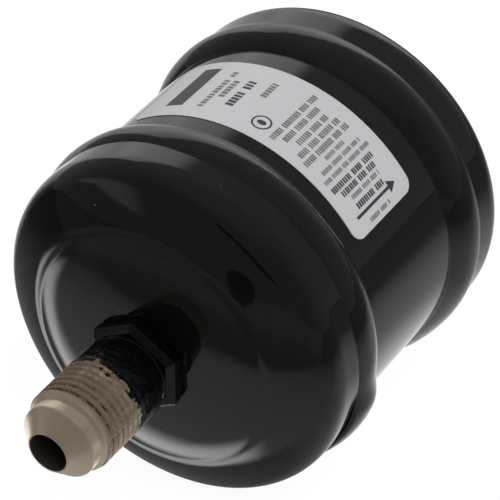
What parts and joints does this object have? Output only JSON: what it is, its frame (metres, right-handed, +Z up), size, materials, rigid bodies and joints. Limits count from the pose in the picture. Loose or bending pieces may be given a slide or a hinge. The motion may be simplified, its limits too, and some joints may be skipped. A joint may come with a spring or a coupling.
{
  "type": "filter drier",
  "caption": "Welded in-line refrigeration filter drier: black drum with domed caps, seam weld rings, wrapped label and a male 45 degree flare fitting at each end.",
  "frame": {"origin": "middle of the drum, on the flow axis", "axes": "+X along the flow, from the inlet fitting to the outlet fitting; +Z up through the label"},
  "size_m": [0.1222, 0.0684, 0.0684],
  "materials": {
    "black_paint": "gloss",
    "plated_steel": "satin",
    "spring_steel": "satin",
    "pressed_steel": "satin",
    "wire_cloth": "satin",
    "glass_fibre_pad": "matte",
    "felt": "matte",
    "moulded_desiccant": "matte",
    "label_paper": "satin"
  },
  "bodies": {
    "root": {"shell": "black_paint", "inlet_cap": "black_paint", "outlet_cap": "black_paint", "inlet_seam_weld": "black_paint", "outlet_seam_weld": "black_paint", "inlet_braze_ring": "black_paint", "outlet_braze_ring": "black_paint", "inlet_fitting": "plated_steel", "outlet_fitting": "plated_steel", "holding_spring": "spring_steel", "spring_plate": "pressed_steel", "inlet_filter_pad": "glass_fibre_pad", "desiccant_core": "moulded_desiccant", "core_gasket": "felt", "outlet_filter_pad": "glass_fibre_pad", "outlet_screen": "wire_cloth", "outlet_plate": "pressed_steel", "label": "label_paper"}
  },
  "joints": []
}
